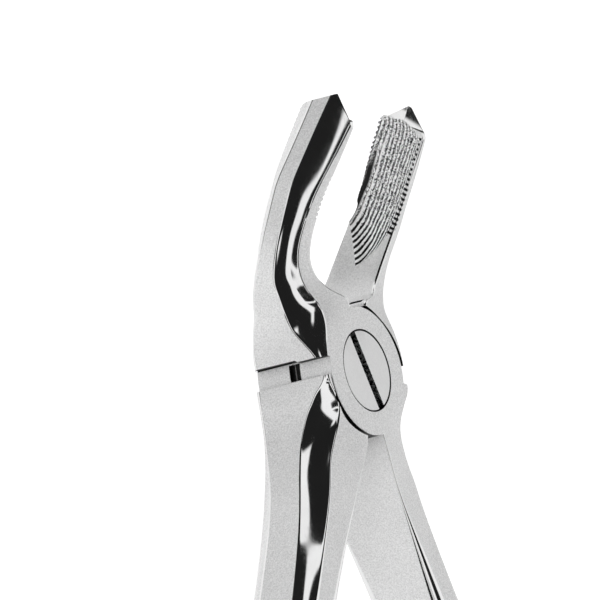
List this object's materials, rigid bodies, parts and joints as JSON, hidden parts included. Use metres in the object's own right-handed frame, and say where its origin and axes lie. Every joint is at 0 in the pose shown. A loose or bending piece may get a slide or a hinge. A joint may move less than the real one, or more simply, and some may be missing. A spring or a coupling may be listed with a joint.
{
  "type": "extraction forceps",
  "caption": "Dental extraction forceps for upper molars: two crossing halves with scooped, toothed beaks and long bowed handles, turning on a slotted pivot screw.",
  "frame": {"origin": "on the pivot axis, at the underside of the joint, which is the plane the forceps lies on", "axes": "+Y from the pivot towards the beak tips, +Z along the pivot screw towards its slotted head, +X towards the beak of the lower half"},
  "size_m": [0.0828, 0.1694, 0.0195],
  "materials": {
    "instrument_steel": "satin",
    "screw_steel": "satin"
  },
  "bodies": {
    "lower": {"lower_half": "instrument_steel", "joint_screw": "screw_steel"},
    "upper": {"upper_half": "instrument_steel"}
  },
  "joints": [
    {"name": "pivot", "type": "hinge", "parent": "lower", "child": "upper", "pos_m": [0, 0, 0.00565], "axis": [0, 0, 1], "range_deg": [-21, 13]}
  ]
}
